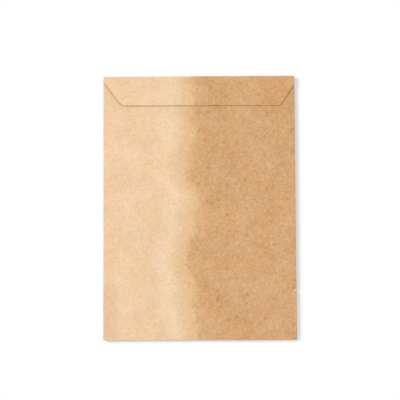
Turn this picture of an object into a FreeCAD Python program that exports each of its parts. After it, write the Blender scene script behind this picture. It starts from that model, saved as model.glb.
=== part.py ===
# Flat kraft paper bag, folded from one sheet and closed by its top flap.
#
# Units are millimetres. The bag lies on the XY plane with its flap upwards: +X is to the right,
# +Y points to the flap's fold and +Z is up. The origin is under the middle of the bag.
#
# Layers from the bottom up: front panel, side seam flaps, back panel, top flap. The back panel is
# glued down on the seam flaps, so the whole bag is one folded piece of paper and one solid.

import FreeCAD, Part

import math
import os

import Sketcher

PARTS_FOLDER = "parts"

# Driving dimensions: name, value, what it is.
SIZES = [
    ("bag_width", 227.0, "across the side folds"),
    ("bag_height", 312.0, "from the bottom fold to the top fold"),
    ("paper_thickness", 0.15, "one ply of kraft paper"),
    ("pocket_gap", 1.5, "clear height between the front panel and the seam flaps"),
    ("seam_flap_width", 18.0, "side seam flap, from the side fold to its free edge"),
    ("seam_end_taper", 6.0, "how far each end of a seam flap slants in"),
    ("fold_end_relief", 0.4, "side folds stop this far short of where the cross folds start"),
    ("seam_inset", 0.1, "back panel's cut edges, inside where the side folds start"),
    ("mouth_drop", 9.0, "mouth's edge, below the top fold"),
    ("flap_clearance", 0.1, "air between the back panel and the flap that lies on it"),
    ("flap_depth", 35.3, "from the top fold to the flap's free edge"),
    ("flap_side_inset", 0.6, "flap's straight sides, inside the side folds"),
    ("left_shoulder", 7.1, "straight part of the flap's left side, from the top fold"),
    ("right_shoulder", 11.9, "straight part of the flap's right side, from the top fold"),
    ("left_slant", 21.2, "how far the flap's left side then slants in"),
    ("right_slant", 16.6, "how far the flap's right side then slants in"),
    ("left_corner_radius", 9.0, "round left corner of the flap's free edge"),
    ("right_corner_radius", 2.0, "round right corner of the flap's free edge"),
]

# Places worked out from the driving dimensions: name, expression. A level is the underside of a
# layer. A tangent is where the flat front panel runs into a fold, measured from the middle.
PLACES = [
    ("seam_level", "sizes.paper_thickness + sizes.pocket_gap"),
    ("back_level", "seam_level + sizes.paper_thickness"),
    ("flap_level", "back_level + sizes.paper_thickness + sizes.flap_clearance"),
    ("side_radius", "back_level / 2"),
    ("bottom_radius", "(back_level + sizes.paper_thickness) / 2"),
    ("top_radius", "(flap_level + sizes.paper_thickness) / 2"),
    ("side_tangent", "sizes.bag_width / 2 - side_radius"),
    ("bottom_tangent", "sizes.bag_height / 2 - bottom_radius"),
    ("top_tangent", "sizes.bag_height / 2 - top_radius"),
    ("seam_edge", "sizes.bag_width / 2 - sizes.seam_flap_width"),
    ("seam_end", "min(bottom_tangent; top_tangent) - sizes.fold_end_relief"),
    ("back_side", "side_tangent - sizes.seam_inset"),
    ("mouth", "sizes.bag_height / 2 - sizes.mouth_drop"),
    ("flap_side", "sizes.bag_width / 2 - sizes.flap_side_inset"),
    ("flap_edge", "sizes.bag_height / 2 - sizes.flap_depth"),
    ("left_corner", "flap_side - sizes.left_slant"),
    ("right_corner", "flap_side - sizes.right_slant"),
    ("left_notch", "sizes.bag_height / 2 - sizes.left_shoulder"),
    ("right_notch", "sizes.bag_height / 2 - sizes.right_shoulder"),
]

# Which way a fold bulges along its sketch's X axis.
OUTWARD = 1
INWARD = -1

# Sides of the flap along X.
LEFT = -1
RIGHT = 1


def make_sizes(doc):
    """Spreadsheet with each driving dimension in a named cell."""
    sheet = doc.addObject("Spreadsheet::Sheet", "sizes")
    for row, (name, value, meaning) in enumerate(SIZES, start=1):
        sheet.set(f"A{row}", name)
        sheet.set(f"B{row}", str(value))
        sheet.setAlias(f"B{row}", name)
        sheet.set(f"C{row}", meaning)
    doc.recompute()


def make_places(doc):
    """Set of named places that follow the spreadsheet."""
    places = doc.addObject("App::VarSet", "places")
    for name, expression in PLACES:
        places.addProperty("App::PropertyFloat", name)
        places.setExpression(name, expression)
    doc.recompute()


def origin_plane(body, role):
    return next(f for f in body.Origin.OriginFeatures if f.Role == role)


def new_sketch(body, name, plane, **offsets):
    """Empty sketch on one of the body's origin planes, moved along its own axes by expressions."""
    sketch = body.newObject("Sketcher::SketchObject", name)
    sketch.AttachmentSupport = (origin_plane(body, plane), [""])
    sketch.MapMode = "FlatFace"
    for axis, expression in offsets.items():
        sketch.setExpression(f"AttachmentOffset.Base.{axis}", expression)
    return sketch


def bind(sketch, constraint, expression):
    """Adds a constraint whose value follows an expression."""
    index = sketch.addConstraint(constraint)
    sketch.setExpression(f"Constraints[{index}]", expression)


def join(sketch, first, first_point, second, second_point):
    """Makes two points coincide: 1 is a line's or arc's start, 2 its end and 3 its centre."""
    sketch.addConstraint(
        Sketcher.Constraint("Coincident", first, first_point, second, second_point)
    )


def draw_outline(sketch, corners):
    """Closed outline of straight lines through corners, each a pair of expressions.

    The lines start as a small regular polygon, and their constraints carry them to their places.
    """
    count = len(corners)
    turns = [2 * math.pi * i / count for i in range(count)]
    starts = [FreeCAD.Vector(math.cos(turn), math.sin(turn)) for turn in turns]
    for i in range(count):
        sketch.addGeometry(Part.LineSegment(starts[i - 1], starts[i]), False)
    for i, (across, along) in enumerate(corners):
        join(sketch, i, 2, (i + 1) % count, 1)
        bind(sketch, Sketcher.Constraint("DistanceX", -1, 1, i, 2, starts[i].x), across)
        bind(sketch, Sketcher.Constraint("DistanceY", -1, 1, i, 2, starts[i].y), along)


def draw_fold(sketch, radius, side):
    """Section of paper turned back over itself: a half ring around the sketch's origin."""
    facing = 0.0 if side == OUTWARD else math.pi
    radii = [(1.0, radius), (0.8, f"{radius} - sizes.paper_thickness")]
    for start, _ in radii:
        circle = Part.Circle(FreeCAD.Vector(), FreeCAD.Vector(0, 0, 1), start)
        arc = Part.ArcOfCircle(circle, facing - math.pi / 2, facing + math.pi / 2)
        sketch.addGeometry(arc, False)
    for point in (1, 2):
        ends = [sketch.getPoint(arc, point) for arc in (0, 1)]
        line = sketch.addGeometry(Part.LineSegment(*ends), False)
        for arc in (0, 1):
            join(sketch, line, arc + 1, arc, point)
            sketch.addConstraint(Sketcher.Constraint("PointOnObject", arc, point, -2))
    for arc, (start, expression) in enumerate(radii):
        join(sketch, arc, 3, -1, 1)
        bind(sketch, Sketcher.Constraint("Radius", arc, start), expression)


def pad(body, name, sketch, length, midplane=False):
    """Pad of a sketch, to one side or to both sides of its plane."""
    feature = body.newObject("PartDesign::Pad", name)
    feature.Profile = sketch
    feature.Midplane = midplane
    feature.setExpression("Length", length)
    return feature


def make_front_panel(body):
    outline = new_sketch(body, "front_outline", "XY_Plane")
    corners = [
        ("-places.side_tangent", "-places.bottom_tangent"),
        ("places.side_tangent", "-places.bottom_tangent"),
        ("places.side_tangent", "places.top_tangent"),
        ("-places.side_tangent", "places.top_tangent"),
    ]
    draw_outline(outline, corners)
    pad(body, "front_panel", outline, "sizes.paper_thickness")


def make_side_seams(body):
    """Both side folds, each with its seam flap turned in over the front panel."""
    section = new_sketch(
        body, "side_fold_section", "XZ_Plane", x="places.side_tangent", y="places.side_radius"
    )
    draw_fold(section, "places.side_radius", OUTWARD)
    side_fold = pad(body, "side_fold", section, "2 * places.seam_end", midplane=True)

    outline = new_sketch(body, "seam_flap_outline", "XY_Plane", z="places.seam_level")
    corners = [
        ("places.seam_edge", "sizes.seam_end_taper - places.seam_end"),
        ("places.side_tangent", "-places.seam_end"),
        ("places.side_tangent", "places.seam_end"),
        ("places.seam_edge", "places.seam_end - sizes.seam_end_taper"),
    ]
    draw_outline(outline, corners)
    seam_flap = pad(body, "seam_flap", outline, "sizes.paper_thickness")

    body.Document.recompute()
    other_side = body.newObject("PartDesign::Mirrored", "other_side_seam")
    other_side.Originals = [side_fold, seam_flap]
    other_side.MirrorPlane = (origin_plane(body, "YZ_Plane"), [""])
    body.Tip = other_side


def make_back_panel(body):
    """The bottom fold, and the panel that it turns up over the seam flaps as far as the mouth."""
    section = new_sketch(
        body, "bottom_fold_section", "YZ_Plane", x="-places.bottom_tangent", y="places.bottom_radius"
    )
    draw_fold(section, "places.bottom_radius", INWARD)
    pad(body, "bottom_fold", section, "2 * places.back_side", midplane=True)

    outline = new_sketch(body, "back_outline", "XY_Plane", z="places.back_level")
    corners = [
        ("-places.back_side", "-places.bottom_tangent"),
        ("places.back_side", "-places.bottom_tangent"),
        ("places.back_side", "places.mouth"),
        ("-places.back_side", "places.mouth"),
    ]
    draw_outline(outline, corners)
    pad(body, "back_panel", outline, "sizes.paper_thickness")


def make_top_flap(body):
    """The top fold, and the flap that it turns down over the mouth."""
    section = new_sketch(
        body, "top_fold_section", "YZ_Plane", x="places.top_tangent", y="places.top_radius"
    )
    draw_fold(section, "places.top_radius", OUTWARD)
    pad(body, "top_fold", section, "2 * places.flap_side", midplane=True)

    outline = new_sketch(body, "flap_outline", "XY_Plane", z="places.flap_level")
    corners = [
        ("-places.flap_side", "places.top_tangent"),
        ("-places.flap_side", "places.left_notch"),
        ("-places.left_corner", "places.flap_edge"),
        ("places.right_corner", "places.flap_edge"),
        ("places.flap_side", "places.right_notch"),
        ("places.flap_side", "places.top_tangent"),
    ]
    draw_outline(outline, corners)
    flap = pad(body, "top_flap", outline, "sizes.paper_thickness")

    round_corner(body, flap, "left_corner", LEFT)
    round_corner(body, body.Tip, "right_corner", RIGHT)


def round_corner(body, base, name, side):
    """Rounds one corner of the flap's free edge with the radius that sizes has for it."""
    body.Document.recompute()
    rounding = body.newObject("PartDesign::Fillet", name)
    rounding.Base = (base, [free_corner(base.Shape, side)])
    rounding.setExpression("Radius", f"sizes.{name}_radius")


def free_corner(shape, side):
    """Name of the upright edge at a corner of the flap's free edge.

    The flap is the top layer, and that corner is the one furthest from its fold on its side.
    """
    tolerance = 1e-6
    top = shape.BoundBox.ZMax
    upright = {}
    for number, edge in enumerate(shape.Edges, start=1):
        box = edge.BoundBox
        if max(box.XLength, box.YLength, top - box.ZMax) < tolerance and side * box.XMin > 0:
            upright[f"Edge{number}"] = box.YMin
    return min(upright, key=upright.get)


def check(doc, body):
    """Stops the build if an object failed, or the bag isn't one sound solid."""
    failed = [o.Name for o in doc.Objects if {"Invalid", "Error"} & set(o.State)]
    if failed:
        raise RuntimeError(f"objects that failed: {failed}")
    shape = body.Shape
    if shape.isNull() or not shape.isValid() or len(shape.Solids) != 1:
        raise RuntimeError(f"{body.Label} isn't one sound solid")


def main():
    doc = FreeCAD.newDocument("paper_bag")
    make_sizes(doc)
    make_places(doc)
    body = doc.addObject("PartDesign::Body", "bag")
    body.Label = "paper_bag"
    make_front_panel(body)
    make_side_seams(body)
    make_back_panel(body)
    make_top_flap(body)
    doc.recompute()
    check(doc, body)

    os.makedirs(PARTS_FOLDER, exist_ok=True)
    body.Shape.exportStep(f"{PARTS_FOLDER}/{body.Label}.step")
    box = body.Shape.BoundBox
    print(f"{body.Label}: {box.XLength:.2f} x {box.YLength:.2f} x {box.ZLength:.2f} mm")
    print(f"paper: {body.Shape.Volume / 1000:.3f} cm3 in {len(body.Shape.Faces)} faces")


main()
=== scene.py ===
import math

import bmesh
import bpy
from mathutils import Matrix, Vector


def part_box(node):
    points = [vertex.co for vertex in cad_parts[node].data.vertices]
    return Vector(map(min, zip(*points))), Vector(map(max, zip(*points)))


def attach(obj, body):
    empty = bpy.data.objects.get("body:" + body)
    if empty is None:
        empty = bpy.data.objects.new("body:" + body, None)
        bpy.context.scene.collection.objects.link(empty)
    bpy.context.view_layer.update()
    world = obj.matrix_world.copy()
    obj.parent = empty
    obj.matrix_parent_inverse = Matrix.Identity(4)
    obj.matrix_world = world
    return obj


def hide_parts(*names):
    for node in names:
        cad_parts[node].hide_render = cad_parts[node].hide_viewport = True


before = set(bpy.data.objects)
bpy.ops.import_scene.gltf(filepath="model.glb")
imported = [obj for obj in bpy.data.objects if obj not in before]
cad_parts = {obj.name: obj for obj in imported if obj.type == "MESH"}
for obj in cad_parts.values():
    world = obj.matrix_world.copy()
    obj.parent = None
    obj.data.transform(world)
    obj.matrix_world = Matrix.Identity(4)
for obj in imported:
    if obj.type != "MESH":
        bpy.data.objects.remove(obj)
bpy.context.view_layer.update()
bpy.ops.object.select_all(action="DESELECT")
print("frame loaded")

mm = 0.001
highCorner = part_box("paper_bag")[1]
halfWidth = highCorner.x
halfHeight = highCorner.y


# selects the edges whose two ends pass the test together, and nothing else
def pickEdges(piece, test):
    bpy.ops.mesh.select_mode(type="EDGE")
    bpy.ops.mesh.select_all(action="DESELECT")
    mesh = bmesh.from_edit_mesh(piece.data)
    for edge in mesh.edges:
        start, end = edge.verts
        if test(start.co, end.co):
            edge.select_set(True)
    bmesh.update_edit_mesh(piece.data)


# selects the faces whose corners all pass the test, and nothing else
def pickFaces(piece, test):
    bpy.ops.mesh.select_mode(type="FACE")
    bpy.ops.mesh.select_all(action="DESELECT")
    mesh = bmesh.from_edit_mesh(piece.data)
    for face in mesh.faces:
        if all(test(corner.co) for corner in face.verts):
            face.select_set(True)
    bmesh.update_edit_mesh(piece.data)


bag = {
    "name": "foldedBag",
    "paper": 0.15 * mm,  # one ply
    "cell": 2.2 * mm,  # squares that let the paper wave
    "foldSteps": 8,  # faces round each fold
    "foldRelief": 0.6 * mm,  # side folds stop this far short of the bag's ends, clear of the folds there
    "seamInset": 0.5 * mm,  # back panel's cut sides, inside the side folds
    "seamFlap": 18 * mm,  # glued flap along each side, under the back panel
    "seamTaper": 6 * mm,  # its inner side is shorter by this at each end
    "seamColumns": 8,  # strips across it
    "mouthDrop": 9 * mm,  # mouth's edge, below the bag's top end
    "foldGap": 0.2 * mm,  # air left inside the pressed folds
    "glueLine": 0.05 * mm,  # between the seam flaps and the back panel
    "edgeHeight": 1.05 * mm,  # the pressed edges stand this far off the table
    "flapAir": 0.1 * mm,  # under the flap, beside its fold
    "flapLift": 0.12 * mm,  # more air under the flap's free edge
    "flapInset": 0.6 * mm,  # the slants start this far inside the bag's sides
    "flapDepth": 35.3 * mm,
    "shoulders": (7.1 * mm, 11.9 * mm),  # straight part of the flap's left and right side
    "slants": (21.2 * mm, 16.6 * mm),  # how far each side then slants in
    "cornerRounds": (9 * mm, 2 * mm),  # radius of its left and right corner
    "cornerSteps": 7,  # each corner turns in this many steps
    "mergeGap": 0.005 * mm,  # points closer than this become one
    "smoothAngle": 35,  # degrees
}

paper = bag["paper"]
frontLevel = bag["edgeHeight"] + paper / 2
seamLevel = frontLevel + paper + bag["foldGap"]
backLevel = seamLevel + paper + bag["glueLine"]
flapLevel = backLevel + paper + bag["flapAir"]
panelSide = halfWidth - bag["seamInset"]
seamEnd = halfHeight - bag["foldRelief"]
flapEdge = halfHeight - bag["flapDepth"]
nearly = 0.02 * mm  # for rounding, where edges and faces are picked by their place


# turns the picked edges half round, out of the sheet and back over it
def foldOver(centre, axis):
    bpy.ops.mesh.spin(steps=bag["foldSteps"], angle=math.pi, center=centre, axis=axis)


# carries the picked edges on by this much, with new paper behind them
def carryOn(dx, dy):
    bpy.ops.mesh.extrude_edges_move(TRANSFORM_OT_translate={"value": (dx, dy, 0)})


# cuts paper that was carried on in one go into strips; its long edges are found by their length
def cutIntoStrips(piece, length, strips):
    pickEdges(piece, lambda a, b: max(abs(a.x - b.x), abs(a.y - b.y)) > length - nearly)
    bpy.ops.mesh.subdivide_edgering(number_cuts=strips - 1, interpolation="LINEAR", smoothness=0)


def makeFrontPanel():
    bpy.ops.mesh.primitive_grid_add(
        x_subdivisions=round(2 * panelSide / bag["cell"]),
        y_subdivisions=round(2 * seamEnd / bag["cell"]),
        size=1,
    )
    piece = bpy.context.object
    piece.name = bag["name"]
    bpy.ops.object.mode_set(mode="EDIT")
    bpy.ops.transform.resize(value=(2 * panelSide, 2 * seamEnd, 1))
    bpy.ops.transform.translate(value=(0, 0, frontLevel))
    return piece


# both side folds and the seam flaps that they turn in over the front panel
def makeSideSeams(piece):
    radius = (seamLevel - frontLevel) / 2
    tangent = halfWidth - radius - paper / 2
    length = tangent - (halfWidth - bag["seamFlap"])
    taper = 1 - bag["seamTaper"] / seamEnd
    for side in (-1, 1):
        pickEdges(piece, lambda a, b: min(side * a.x, side * b.x) > panelSide - nearly)
        carryOn(side * (tangent - panelSide), 0)
        foldOver((side * tangent, 0, frontLevel + radius), (0, side, 0))
        carryOn(-side * length, 0)
        bpy.ops.transform.resize(value=(1, taper, 1), center_override=(0, 0, 0))
    cutIntoStrips(piece, length, bag["seamColumns"])


# selects the front panel's top or bottom edge, between the side folds
def pickPanelEnd(piece, end):
    pickEdges(
        piece,
        lambda a, b: min(end * a.y, end * b.y) > seamEnd - nearly
        and max(abs(a.x), abs(b.x)) < panelSide + nearly
        and max(a.z, b.z) < frontLevel + nearly,
    )


# the bottom fold, and the back panel that it turns up as far as the mouth
def makeBackPanel(piece):
    radius = (backLevel - frontLevel) / 2
    tangent = halfHeight - radius - paper / 2
    length = tangent + halfHeight - bag["mouthDrop"]
    pickPanelEnd(piece, -1)
    carryOn(0, seamEnd - tangent)
    foldOver((0, -tangent, frontLevel + radius), (1, 0, 0))
    carryOn(0, length)
    cutIntoStrips(piece, length, round(length / bag["cell"]))


# the top fold, and the flap that it turns down over the mouth
def makeTopFlap(piece):
    radius = (flapLevel - frontLevel) / 2
    tangent = halfHeight - radius - paper / 2
    length = tangent - flapEdge
    pickPanelEnd(piece, 1)
    carryOn(0, tangent - seamEnd)
    foldOver((0, tangent, frontLevel + radius), (-1, 0, 0))
    carryOn(0, -length)
    cutIntoStrips(piece, length, round(length / bag["cell"]))


# trims the flap to one straight cut: what lies beyond it goes
def trimFlap(piece, point, outward):
    pickFaces(piece, lambda co: co.z > flapLevel - nearly)
    bpy.ops.mesh.bisect(
        plane_co=(point.x, point.y, flapLevel),
        plane_no=(outward.x, outward.y, 0),
        clear_outer=True,
    )


# where each side of the flap meets its free edge before the corner is rounded, and which way
# that side faces
flapCorners = []
flapFacings = []
for side, shoulder, slant in zip((-1, 1), bag["shoulders"], bag["slants"]):
    notch = Vector((side * (halfWidth - bag["flapInset"]), halfHeight - shoulder))
    corner = Vector((notch.x - side * slant, flapEdge))
    flapCorners.append(corner)
    flapFacings.append(Vector((side * (notch.y - corner.y), side * (corner.x - notch.x))).normalized())


# slanting sides and round corners of the flap
def shapeFlap(piece):
    down = Vector((0, -1))
    for corner, facing, radius in zip(flapCorners, flapFacings, bag["cornerRounds"]):
        trimFlap(piece, corner, facing)
        centre = corner - (facing + down) * radius / (1 + facing.dot(down))
        turn = facing.angle_signed(down)
        for step in range(1, bag["cornerSteps"]):
            outward = facing.copy()
            outward.rotate(Matrix.Rotation(-turn * step / bag["cornerSteps"], 2))
            trimFlap(piece, centre + outward * radius, outward)


def buildSheet():
    piece = makeFrontPanel()
    makeSideSeams(piece)
    makeBackPanel(piece)
    makeTopFlap(piece)
    shapeFlap(piece)
    bpy.ops.mesh.select_all(action="SELECT")
    bpy.ops.mesh.remove_doubles(threshold=bag["mergeGap"])
    bpy.ops.mesh.normals_make_consistent(inside=False)
    bpy.ops.object.mode_set(mode="OBJECT")
    return piece


foldedBag = buildSheet()
print("sheet folded:", len(foldedBag.data.polygons), "faces")


# a colour as on a swatch card, made linear for the shaders
def swatch(code):
    shares = [int(code[i : i + 2], 16) / 255 for i in (0, 2, 4)]
    linear = [c / 12.92 if c < 0.04045 else ((c + 0.055) / 1.055) ** 2.4 for c in shares]
    return (*linear, 1)


# adds a node, sets its options, and fills its sockets with values or with wires from other nodes;
# a socket goes by its name, or by i and its number
def addNode(tree, kind, options=None, **feeds):
    node = tree.nodes.new("ShaderNode" + kind)
    for name, value in (options or {}).items():
        setattr(node, name, value)
    for name, value in feeds.items():
        socket = node.inputs[int(name[1:])] if name[1:].isdigit() else node.inputs[name]
        if isinstance(value, bpy.types.NodeSocket):
            tree.links.new(value, socket)
        else:
            socket.default_value = value
    return node


def calc(tree, operation, *values):
    feeds = {f"i{number}": value for number, value in enumerate(values)}
    return addNode(tree, "Math", {"operation": operation}, **feeds).outputs[0]


# a vector times a changing share, added to what is there already
def scaled(tree, vector, share, start):
    options = {"operation": "MULTIPLY_ADD"}
    return addNode(tree, "VectorMath", options, i0=vector, i1=share, i2=start).outputs[0]


# two vectors or colours, number by number
def product(tree, first, second):
    return addNode(tree, "VectorMath", {"operation": "MULTIPLY"}, i0=first, i1=second).outputs[0]


# the first colour where the share is 0; the second one, or its blend with the first, where it is 1
def mixed(tree, share, first, second, blend="MIX"):
    options = {"data_type": "RGBA", "blend_type": blend}
    return addNode(tree, "Mix", options, i0=share, i6=first, i7=second).outputs[2]


smoothly = {"interpolation_type": "SMOOTHSTEP"}


# 0 below start, 1 above end, with a soft step between; start may be the higher one
def softStep(tree, value, start, end):
    if start < end:
        return addNode(tree, "MapRange", smoothly, i0=value, i1=start, i2=end).outputs[0]
    return addNode(tree, "MapRange", smoothly, i0=value, i1=end, i2=start, i3=1.0, i4=0.0).outputs[0]


# noise that swings about 0; its texture is its scale per mm, its detail and its roughness
def swing(tree, place, texture, **more):
    scale, detail, roughness = texture
    feeds = {"Vector": place, "Scale": scale, "Detail": detail, "Roughness": roughness}
    level = addNode(tree, "TexNoise", **feeds, **more).outputs["Fac"]
    return calc(tree, "SUBTRACT", level, 0.5)


# the piece's own coordinates in mm
def placeInMm(tree):
    coords = addNode(tree, "TexCoord").outputs["Object"]
    place = addNode(tree, "Mapping", Vector=coords, Scale=(1 / mm,) * 3).outputs[0]
    parts = addNode(tree, "SeparateXYZ", Vector=place)
    return place, parts.outputs["X"], parts.outputs["Y"]


def newMaterial(name):
    material = bpy.data.materials.new(name)
    material.use_nodes = True
    material.node_tree.nodes.clear()
    return material, material.node_tree


grain = {
    # textures, as swing takes them
    "clouds": (0.0279, 4.5, 0.7),
    "hue": (0.0366, 3.0, 0.8),
    "warmth": (0.0165, 4.0, 0.8),
    "grit": (0.32, 5.0, 0.8),
    "fibres": (0.9, 2.0, 0.6),
    # how far red, green and blue follow them
    "cloudTint": (0.5, 1.0, 1.7),
    "hueTint": (0.33, -0.05, -1.0),
    "warmTint": (0.25, -0.16, 0.0),
    "gritTint": (0.78, 1.04, 1.4),  # also for the fibres and the flecks
    "fibreTurns": (20, -50, 85),  # the ways they lie, in degrees
    "fibreStretch": 0.22,  # their scale along themselves, as a share of that across
    "fibreBend": 0.8,  # how crooked they are
    "fibreWidth": 0.03,  # how far the noise swings across half a fibre
    "fibreShine": 0.1,  # they are paler by this
    "fibreCover": 0.29,  # share of the paper with a fibre on top, taken off so that the mean stays
    "fleckCells": 0.09,  # per mm
    "fleckless": 0.6,  # about this share of the cells has no fleck
    "fleckSize": 0.52,  # in shares of a cell, for the largest and for the blur round each
    "fleckBlur": 0.09,
    "relief": 0.12,  # mm, from the lowest to the highest grit
    "fibreRelief": 0.12,  # share of that
    "gritRough": 0.25,  # how far the roughness follows the grit
    "fibreSmooth": 0.08,  # fibres are smoother by this
}


# thin fibres lying one way: they follow the middle level of a stretched noise
def fibresLying(tree, place, turn):
    along = addNode(
        tree,
        "Mapping",
        Vector=place,
        Rotation=(0, 0, math.radians(turn)),
        Scale=(grain["fibreStretch"], 1, 1),
    ).outputs[0]
    level = swing(tree, along, grain["fibres"], Distortion=grain["fibreBend"])
    return softStep(tree, calc(tree, "ABSOLUTE", level), grain["fibreWidth"], 0.0)


# dark flecks: only some cells have one
def flecksInCells(tree, place):
    cells = addNode(
        tree, "TexVoronoi", {"voronoi_dimensions": "2D"}, Vector=place, Scale=grain["fleckCells"]
    )
    chance = addNode(tree, "SeparateColor", Color=cells.outputs["Color"]).outputs[0]
    reach = calc(tree, "SUBTRACT", chance, grain["fleckless"])
    reach = calc(tree, "MULTIPLY", reach, grain["fleckSize"])
    inside = calc(tree, "SUBTRACT", reach, cells.outputs["Distance"])
    return softStep(tree, inside, -grain["fleckBlur"], grain["fleckBlur"])


# grain of kraft paper: Tint is a factor around 1 for each colour, Relief is a height in mm, and the
# Roughness that goes in comes out with the grain on it
def makeGrainGroup():
    group = bpy.data.node_groups.new("kraftGrain", "ShaderNodeTree")
    face = group.interface
    face.new_socket("Place", in_out="INPUT", socket_type="NodeSocketVector")
    for name in ("Clouds", "Grit", "Hue", "Flecks", "Roughness"):
        face.new_socket(name, in_out="INPUT", socket_type="NodeSocketFloat")
    face.new_socket("Tint", in_out="OUTPUT", socket_type="NodeSocketVector")
    face.new_socket("Relief", in_out="OUTPUT", socket_type="NodeSocketFloat")
    face.new_socket("Roughness", in_out="OUTPUT", socket_type="NodeSocketFloat")
    entry = group.nodes.new("NodeGroupInput").outputs
    leave = group.nodes.new("NodeGroupOutput").inputs
    place = entry["Place"]

    grit = swing(group, place, grain["grit"])
    fibre = 0.0
    for turn in grain["fibreTurns"]:
        fibre = calc(group, "MAXIMUM", fibresLying(group, place, turn), fibre)
    fibre = calc(group, "SUBTRACT", fibre, grain["fibreCover"])
    fleck = calc(group, "MULTIPLY", flecksInCells(group, place), entry["Flecks"])
    fine = calc(group, "MULTIPLY", grit, entry["Grit"])
    fine = calc(group, "MULTIPLY_ADD", fibre, grain["fibreShine"], fine)
    fine = calc(group, "SUBTRACT", fine, fleck)

    clouded = calc(group, "MULTIPLY", swing(group, place, grain["clouds"]), entry["Clouds"])
    hue = calc(group, "MULTIPLY", swing(group, place, grain["hue"]), entry["Hue"])
    warmth = calc(group, "MULTIPLY", swing(group, place, grain["warmth"]), entry["Hue"])
    tint = scaled(group, grain["cloudTint"], clouded, (1, 1, 1))
    tint = scaled(group, grain["gritTint"], fine, tint)
    tint = scaled(group, grain["hueTint"], hue, tint)
    tint = scaled(group, grain["warmTint"], warmth, tint)
    group.links.new(tint, leave["Tint"])

    relief = calc(group, "MULTIPLY_ADD", fibre, grain["fibreRelief"], grit)
    group.links.new(calc(group, "MULTIPLY", relief, grain["relief"]), leave["Relief"])
    rough = calc(group, "MULTIPLY_ADD", grit, grain["gritRough"], entry["Roughness"])
    rough = calc(group, "MULTIPLY_ADD", fibre, -grain["fibreSmooth"], rough)
    group.links.new(rough, leave["Roughness"])
    return group


# the pale side's colours are kraft with a painted sheen, and the palest band just before the sheen's edge
# is a painted highlight
kraft = {
    "toneAndSheen": [  # distance in mm from the edge of the painted sheen, and the colour there
        (-110, "f0cda6"),
        (-60, "f1cda4"),
        (-46, "efcca3"),
        (-24, "f4d3ad"),
        (-9, "eac497"),
        (-1, "e8be8e"),
        (6, "dbad7c"),
        (18, "d6a675"),
        (70, "d7a777"),
    ],
    # the edge of the painted sheen: how far up the bag, and how far right, in mm
    "sheenEdge": [
        (-156, -4),
        (-130, -6),
        (-112, -9.5),
        (-95, -8.5),
        (-65, -16.3),
        (-42, -13.5),
        (-30, -8),
        (-10, -8),
        (9, -1.5),
        (26, -11),
        (42, -15),
        (62, -14),
        (82, -7),
        (102, -9.5),
        (125, -7.5),
        (156, -10),
    ],
    "sheenEdgeReach": 20,  # mm either side of the middle, for the curve node's 0 to 1
    "stray": 22.0,  # mm, the width of the band that the painted sheen's edge strays in
    "strayTexture": (0.09, 4.5, 0.8),
    "grainTurn": 8,  # mm either side of the line, where the grain changes over
    "underTone": "d7a777",
    "upperSide": (0.1, 0.5),  # how far round a fold its colours and marks start, and are full
    "clouds": (0.33, 0.55),  # grain under the painted sheen and on the darker side
    "grit": (0.64, 1.27),
    "flecks": (0.03, 0.16),
    "hue": 0.34,  # how far the hue drifts
    "roughness": 0.72,
    "specular": 0.3,
    "bump": 0.8,
}


# how far right of the middle the edge of the painted sheen runs, in mm
def sheenEdge(tree, y):
    ends = halfHeight / mm
    reach = kraft["sheenEdgeReach"]
    along = addNode(tree, "MapRange", i0=y, i1=-ends, i2=ends).outputs[0]
    curve = addNode(tree, "FloatCurve", Value=along)
    points = curve.mapping.curves[0].points
    while len(points) < len(kraft["sheenEdge"]):
        points.new(0.5, 0.5)
    for point, (up, right) in zip(points, kraft["sheenEdge"]):
        point.location = (0.5 + up / (2 * ends), 0.5 + right / (2 * reach))
        point.handle_type = "AUTO"
    curve.mapping.update()
    centred = calc(tree, "SUBTRACT", curve.outputs[0], 0.5)
    return calc(tree, "MULTIPLY", centred, 2.0 * reach)


# the paper's colour on the upper side, with a painted sheen over its pale side, and how far a place is on
# the darker side, out of the sheen
def kraftToneAndSheen(tree, place, x, y):
    stray = calc(tree, "MULTIPLY", swing(tree, place, kraft["strayTexture"]), kraft["stray"])
    side = calc(tree, "ADD", calc(tree, "SUBTRACT", x, sheenEdge(tree, y)), stray)
    first = kraft["toneAndSheen"][0][0]
    span = kraft["toneAndSheen"][-1][0] - first
    share = addNode(tree, "MapRange", i0=side, i1=float(first), i2=float(first + span)).outputs[0]
    ramp = addNode(tree, "ValToRGB", Fac=share)
    stops = ramp.color_ramp.elements
    while len(stops) < len(kraft["toneAndSheen"]):
        stops.new(0.5)
    for stop, (away, code) in zip(stops, kraft["toneAndSheen"]):
        stop.position = (away - first) / span
        stop.color = swatch(code)
    return ramp.outputs["Color"], softStep(tree, side, -kraft["grainTurn"], kraft["grainTurn"])


# painted shade on the paper beside the flap's edge, added to the real shadow of its lifted edge; distances
# are in mm, less than 0 on the flap
flapShade = {
    "line": (-1.2, 0.0, 2.2),  # where the dark line starts, is darkest and ends
    "leftSlant": 0.32,  # how dark the line is along the left slant
    "slantFade": 12,  # mm right of the flap's left corner, where that has faded
    "edge": (0.22, 0.08),  # along the free edge, at its left and at its right end
    "edgeEnds": (-50.0, 50.0),
    "around": 0.035,  # a faint shade, wider than the line
    "aroundStart": (-0.2, 0.4),
    "aroundEnd": (15, 3),
    "softness": 0.7,  # of the line's turn at the corners, in shares of their radius
    "tint": (-0.8, -1.0, -1.5),  # how much of red, green and blue it takes away
}


# distance outside the flap's edge, in mm, less than 0 on the flap
def flapDistance(tree, x, y):
    below = calc(tree, "SUBTRACT", flapEdge / mm, y)
    sides = []
    for corner, facing, radius in zip(flapCorners, flapFacings, bag["cornerRounds"]):
        across = calc(tree, "MULTIPLY", x, facing.x)
        across = calc(tree, "MULTIPLY_ADD", y, facing.y, across)
        side = calc(tree, "SUBTRACT", across, corner.dot(facing) / mm)
        sides.append(calc(tree, "SMOOTH_MAX", side, below, flapShade["softness"] * radius / mm))
    return calc(tree, "MAXIMUM", *sides)
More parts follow.
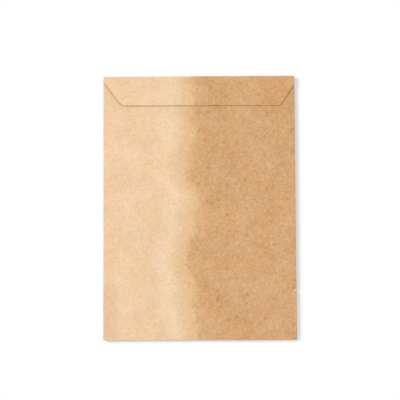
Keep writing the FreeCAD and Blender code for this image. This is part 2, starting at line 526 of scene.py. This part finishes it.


# how much painted shade lies beside the flap's edge, most along its left slant, where the lamp casts no
# shadow
def paintedFlapShade(tree, x, y):
    outside = flapDistance(tree, x, y)
    start, middle, end = flapShade["line"]
    line = calc(
        tree, "MULTIPLY", softStep(tree, outside, start, middle), softStep(tree, outside, end, middle)
    )
    around = calc(
        tree,
        "MULTIPLY",
        softStep(tree, outside, *flapShade["aroundStart"]),
        softStep(tree, outside, *flapShade["aroundEnd"]),
    )
    corner = flapCorners[0].x / mm
    faded = corner + flapShade["slantFade"]
    slant = addNode(
        tree, "MapRange", smoothly, i0=x, i1=corner, i2=faded, i3=flapShade["leftSlant"], i4=0.0
    ).outputs[0]
    leftEnd, rightEnd = flapShade["edgeEnds"]
    left, right = flapShade["edge"]
    edge = addNode(tree, "MapRange", smoothly, i0=x, i1=leftEnd, i2=rightEnd, i3=left, i4=right).outputs[0]
    line = calc(tree, "MULTIPLY", line, calc(tree, "MAXIMUM", slant, edge))
    return calc(tree, "MULTIPLY_ADD", around, flapShade["around"], line)


# a darker strip at the lower left
lowerLeftStrip = {
    "side": -97,  # its inner side and its top end, in mm
    "top": -90,
    "sideBlur": 4,
    "topBlur": 3,
    "tint": "f7f5f3",
}
# pale spots: rubbed wear at the nick and the lower right corner, and painted highlights along the right
# and bottom folds that lighten their shade; in mm and degrees
rubsAndHighlights = {
    "tone": "f3dfc2",
    "fade": (1.3, 0.5),  # where a spot is gone and where it is full, in shares of its half size
    "ragged": (0.9, 2.0, 0.6),  # texture of the spots' edges
    "roughness": 0.1,  # more than the paper's
    "height": 2000,  # far more than the bag's, so that a spot goes right through it
    "spots": [
        {"place": (112.3, -98.2), "turn": 50, "size": (3.6, 2.6), "strength": 0.95},  # nick
        {"place": (110.0, -100.5), "turn": 42, "size": (8.0, 1.5), "strength": 0.32},  # its crease
        {"place": (111.4, -152.4), "turn": 50, "size": (4.0, 2.0), "strength": 0.45},  # corner
        {"place": (106.0, -153.6), "turn": 6, "size": (11, 2.0), "strength": 0.16},  # beside it
        {"place": (113.4, 0), "turn": 90, "size": (330, 1.2), "strength": 0.38},  # right fold: painted highlight
        {"place": (-60, -155.3), "turn": 0, "size": (130, 2.4), "strength": 0.4},  # bottom fold, left: painted highlight
        {"place": (50, -155.6), "turn": 0, "size": (130, 1.2), "strength": 0.1},  # and right: painted highlight
    ],
}


# the spot's strength where it lies, fading to 0 round it
def paleSpotMask(tree, place, spot, ragged):
    across = addNode(
        tree,
        "Mapping",
        {"vector_type": "TEXTURE"},
        Vector=place,
        Location=(*spot["place"], 0),
        Rotation=(0, 0, math.radians(spot["turn"])),
        Scale=(spot["size"][0] / 2, spot["size"][1] / 2, rubsAndHighlights["height"] / 2),
    ).outputs[0]
    away = addNode(tree, "VectorMath", {"operation": "LENGTH"}, i0=across).outputs["Value"]
    away = calc(tree, "ADD", away, ragged)
    return calc(tree, "MULTIPLY", softStep(tree, away, *rubsAndHighlights["fade"]), spot["strength"])


# the darker strip at the lower left and the pale spots, rubbed wear and painted highlights on the folds,
# over the paper's colour, both on the upper side only, and how pale a place is
def addMarks(tree, place, x, y, colour, upper):
    side, sideBlur = lowerLeftStrip["side"], lowerLeftStrip["sideBlur"]
    top, topBlur = lowerLeftStrip["top"], lowerLeftStrip["topBlur"]
    inStrip = calc(tree, "MULTIPLY", softStep(tree, x, side + sideBlur, side - sideBlur), upper)
    inStrip = calc(tree, "MULTIPLY", softStep(tree, y, top + topBlur, top - topBlur), inStrip)
    colour = mixed(tree, inStrip, colour, swatch(lowerLeftStrip["tint"]), "MULTIPLY")
    ragged = swing(tree, place, rubsAndHighlights["ragged"])
    rubbedAndLit = 0.0
    for spot in rubsAndHighlights["spots"]:
        rubbedAndLit = calc(tree, "MAXIMUM", paleSpotMask(tree, place, spot, ragged), rubbedAndLit)
    rubbedAndLit = calc(tree, "MULTIPLY", rubbedAndLit, upper)
    return mixed(tree, rubbedAndLit, colour, swatch(rubsAndHighlights["tone"])), rubbedAndLit


def makeKraft(grainGroup):
    material, tree = newMaterial("kraftPaper")
    place, x, y = placeInMm(tree)
    # kraft colour, with a painted sheen over its pale side
    toneAndSheen, darkSide = kraftToneAndSheen(tree, place, x, y)
    turned = addNode(tree, "Attribute", {"attribute_name": "turnedUp"}).outputs["Fac"]
    upper = softStep(tree, turned, *kraft["upperSide"])
    darkSide = calc(tree, "MAXIMUM", darkSide, calc(tree, "SUBTRACT", 1.0, upper))
    base = mixed(tree, upper, swatch(kraft["underTone"]), toneAndSheen)
    base, rubbedAndLit = addMarks(tree, place, x, y, base, upper)

    grainNode = addNode(
        tree,
        "Group",
        {"node_tree": grainGroup},
        Place=place,
        Hue=kraft["hue"],
        Roughness=kraft["roughness"],
    )
    for name in ("Clouds", "Grit", "Flecks"):
        onPale, onDark = kraft[name.lower()]
        amount = addNode(tree, "MapRange", i0=darkSide, i3=onPale, i4=onDark).outputs[0]
        tree.links.new(amount, grainNode.inputs[name])

    # painted shade beside the flap's edge, on the upper side only
    darker = calc(tree, "MULTIPLY", paintedFlapShade(tree, x, y), upper)
    dim = scaled(tree, flapShade["tint"], darker, (1, 1, 1))
    colour = product(tree, product(tree, base, grainNode.outputs["Tint"]), dim)
    bump = addNode(
        tree, "Bump", Height=grainNode.outputs["Relief"], Distance=mm, Strength=kraft["bump"]
    ).outputs[0]
    rough = calc(tree, "MULTIPLY_ADD", rubbedAndLit, rubsAndHighlights["roughness"], grainNode.outputs["Roughness"])
    finish = {
        "Base Color": colour,
        "Roughness": rough,
        "Specular IOR Level": kraft["specular"],
        "Normal": bump,
    }
    shader = addNode(tree, "BsdfPrincipled", **finish)
    addNode(tree, "OutputMaterial", Surface=shader.outputs[0])
    return material


cutEdge = {
    "tone": "e2bd92",
    "grain": {"Clouds": 0.1, "Grit": 0.4, "Hue": 0.05, "Flecks": 0.05, "Roughness": 0.9},
}


def makeCutEdge(grainGroup):
    material, tree = newMaterial("cutEdge")
    place = placeInMm(tree)[0]
    grainNode = addNode(tree, "Group", {"node_tree": grainGroup}, Place=place, **cutEdge["grain"])
    colour = product(tree, swatch(cutEdge["tone"])[:3], grainNode.outputs["Tint"])
    finish = {"Base Color": colour, "Roughness": grainNode.outputs["Roughness"]}
    shader = addNode(tree, "BsdfPrincipled", **finish)
    addNode(tree, "OutputMaterial", Surface=shader.outputs[0])
    return material


grainGroup = makeGrainGroup()
foldedBag.data.materials.append(makeKraft(grainGroup))
foldedBag.data.materials.append(makeCutEdge(grainGroup))
print("paper coloured")


ease = {
    "cagePoints": (13, 17),
    "openReach": 95 * mm,  # the panels part over this distance from the pressed edges
    "rise": 0.21 * mm,  # of the back panel's middle
    "sink": 1.05 * mm,  # of the front panel's middle, down to the table
    # texture size and full height of the waves in the upper layers
    "waves": [(70 * mm, 0.45 * mm), (16 * mm, 0.06 * mm)],
}


# marks how much each point belongs to the lower and to the upper layers, for the shaping and for
# the paper's colour
def markLayers(piece):
    lower = piece.vertex_groups.new(name="lowerLayers")
    upper = piece.vertex_groups.new(name="upperLayers")
    shares = []
    for corner in piece.data.vertices:
        share = (corner.co.z - frontLevel) / (seamLevel - frontLevel)
        shares.append(min(1, max(0, share)))
        lower.add([corner.index], 1 - shares[-1], "REPLACE")
        upper.add([corner.index], shares[-1], "REPLACE")
    turnedUp = piece.data.attributes.new("turnedUp", "FLOAT", "POINT")
    turnedUp.data.foreach_set("value", shares)


# lets the flap spring up a little from its fold
def springFlap(piece):
    bpy.ops.object.mode_set(mode="EDIT")
    pickFaces(piece, lambda co: co.z > flapLevel - nearly)
    bpy.ops.transform.rotate(
        value=bag["flapLift"] / (halfHeight - flapEdge),
        orient_axis="X",
        center_override=(0, halfHeight, flapLevel),
    )
    bpy.ops.object.mode_set(mode="OBJECT")


# how far the panels have parted at a place: 0 at the pressed edges, 1 in the middle
def openness(x, y):
    inward = min(halfWidth - abs(x), halfHeight - abs(y)) / ease["openReach"]
    return 1 - (1 - min(1, max(0, inward))) ** 2


# moves one group of layers up or down with a flat cage of points
def partLayers(piece, layers, travel):
    bpy.ops.object.add(type="LATTICE", location=(0, 0, frontLevel))
    cage = bpy.context.object
    cage.data.points_u, cage.data.points_v = ease["cagePoints"]
    cage.data.points_w = 1
    cage.scale = (2 * halfWidth, 2 * halfHeight, 1)
    for point in cage.data.points:
        point.co_deform.z += travel * openness(point.co.x * 2 * halfWidth, point.co.y * 2 * halfHeight)
    bpy.context.view_layer.objects.active = piece
    bend = piece.modifiers.new("part", "LATTICE")
    bend.object = cage
    bend.vertex_group = layers
    bpy.ops.object.modifier_apply(modifier=bend.name)
    bpy.data.objects.remove(cage)


def wavePaper(piece):
    for size, height in ease["waves"]:
        clouds = bpy.data.textures.new("paperWaves", "CLOUDS")
        clouds.noise_scale = size
        clouds.noise_depth = 1
        wave = piece.modifiers.new("wave", "DISPLACE")
        wave.texture = clouds
        wave.texture_coords = "LOCAL"
        wave.direction = "Z"
        wave.strength = height
        wave.mid_level = 0.5
        wave.vertex_group = "upperLayers"
        bpy.ops.object.modifier_apply(modifier=wave.name)
        bpy.data.textures.remove(clouds)


# small knocks that press the bag's edges down
knocks = [
    {"place": (113.0 * mm, -98.2 * mm), "depth": 0.3 * mm, "reach": 4.0 * mm},
    {"place": (113.2 * mm, -155.3 * mm), "depth": 0.5 * mm, "reach": 4.5 * mm},
]
knockCore = 1.3 * mm  # goes down by the full depth
knockMargin = 2 * mm  # the mesh is made finer this far past the reach


def knockEdges(piece):
    bpy.ops.object.mode_set(mode="EDIT")
    for knock in knocks:
        centre = Vector(knock["place"])
        pickFaces(piece, lambda co: (co.xy - centre).length < knock["reach"] + knockMargin)
        bpy.ops.mesh.subdivide(number_cuts=1)
        bpy.ops.mesh.select_mode(type="VERT")
        bpy.ops.mesh.select_all(action="DESELECT")
        mesh = bmesh.from_edit_mesh(piece.data)
        for corner in mesh.verts:
            if (corner.co.xy - centre).length < knockCore:
                corner.select_set(True)
        bmesh.update_edit_mesh(piece.data)
        bpy.ops.transform.translate(
            value=(0, 0, -knock["depth"]),
            use_proportional_edit=True,
            proportional_edit_falloff="SMOOTH",
            proportional_size=knock["reach"],
        )
    bpy.ops.object.mode_set(mode="OBJECT")


# gives the sheet its thickness; the cut edges take the second material
def thickenPaper(piece):
    wall = piece.modifiers.new("ply", "SOLIDIFY")
    wall.thickness = paper
    wall.offset = 0
    wall.material_offset_rim = 1
    bpy.ops.object.modifier_apply(modifier=wall.name)
    bpy.ops.object.select_all(action="DESELECT")
    piece.select_set(True)
    bpy.ops.object.shade_smooth_by_angle(angle=math.radians(bag["smoothAngle"]))


markLayers(foldedBag)
springFlap(foldedBag)
partLayers(foldedBag, "lowerLayers", -ease["sink"])
partLayers(foldedBag, "upperLayers", ease["rise"])
wavePaper(foldedBag)
knockEdges(foldedBag)
thickenPaper(foldedBag)
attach(foldedBag, "root")
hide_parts("paper_bag")
print("bag eased and thickened:", len(foldedBag.data.polygons), "faces")


table = {
    "size": 8,  # m
    "drop": 0.02 * mm,  # it lies this far under the bag
    "grey": 0.7,  # how much of the light on it the camera sees, which sets the shadow's depth
    "glow": 0.305,  # makes the rest up to white
    "bounce": 0.9,  # how much it sends back to the bag
}


def makeTable():
    bpy.ops.mesh.primitive_plane_add(size=table["size"], location=(0, 0, -table["drop"]))
    piece = bpy.context.object
    piece.name = "whiteTable"
    material, tree = newMaterial("whiteTable")
    rays = addNode(tree, "LightPath")
    seen = calc(tree, "ADD", rays.outputs["Is Camera Ray"], rays.outputs["Is Glossy Ray"])
    seen = calc(tree, "ADD", seen, rays.outputs["Is Transmission Ray"])
    white = (table["bounce"],) * 3 + (1,)
    grey = (table["grey"],) * 3 + (1,)
    shader = addNode(tree, "BsdfDiffuse", Color=mixed(tree, seen, white, grey))
    glow = addNode(tree, "Emission", Strength=calc(tree, "MULTIPLY", seen, table["glow"]))
    both = addNode(tree, "AddShader", i0=shader.outputs[0], i1=glow.outputs[0])
    addNode(tree, "OutputMaterial", Surface=both.outputs[0])
    piece.data.materials.append(material)


light = {
    "level": 1.0,  # a flat colour comes out as it is written
    "keyShare": 0.42,
    "keyHeight": math.radians(16),  # above the table
    "keyTurn": math.radians(25.5),  # from the left towards the flap
    "keySpread": math.radians(15),
    "keyColour": (1.0, 0.985, 0.965),
    "fillColour": (0.985, 1.0, 1.01),
}


def lightStage():
    height = light["keyHeight"]
    turn = light["keyTurn"]
    travel = Vector((
        math.cos(height) * math.cos(turn),
        -math.cos(height) * math.sin(turn),
        -math.sin(height),
    ))
    bpy.ops.object.light_add(type="SUN", rotation=travel.to_track_quat("-Z", "Y").to_euler())
    key = bpy.context.object
    key.name = "key"
    key.data.angle = light["keySpread"]
    key.data.color = light["keyColour"]
    key.data.energy = math.pi * light["level"] * light["keyShare"] / math.sin(height)

    world = bpy.data.worlds.new("studio")
    world.use_nodes = True
    tree = world.node_tree
    tree.nodes.clear()
    bpy.context.scene.world = world
    rays = addNode(tree, "LightPath")
    seen = calc(tree, "MAXIMUM", rays.outputs["Is Camera Ray"], rays.outputs["Is Transmission Ray"])
    fill = addNode(tree, "Background", Color=(*light["fillColour"], 1))
    fill.inputs["Strength"].default_value = light["level"] * (1 - light["keyShare"])
    white = addNode(tree, "Background", Color=(1, 1, 1, 1), Strength=1.0)
    both = addNode(tree, "MixShader", i0=seen, i1=fill.outputs[0], i2=white.outputs[0])
    addNode(tree, "OutputWorld", Surface=both.outputs[0])


shot = {
    "distance": 1.5,  # m
    "height": 85.676,  # degrees above the table
    "roll": -0.295,
    "target": (0.87 * mm, 8.44 * mm),
    "lens": 114.26,
    "sensor": 36,
}


def placeCamera():
    height = math.radians(shot["height"])
    targetX, targetY = shot["target"]
    back = shot["distance"] * math.cos(height)
    up = shot["distance"] * math.sin(height)
    bpy.ops.object.camera_add(location=(targetX, targetY - back, up))
    camera = bpy.context.object
    camera.rotation_mode = "ZYX"
    camera.rotation_euler = (math.pi / 2 - height, 0, math.radians(shot["roll"]))
    camera.data.lens = shot["lens"]
    camera.data.sensor_width = shot["sensor"]
    bpy.context.scene.camera = camera


makeTable()
lightStage()
placeCamera()
bpy.context.scene.view_settings.view_transform = "Standard"
print("table, light and camera set")
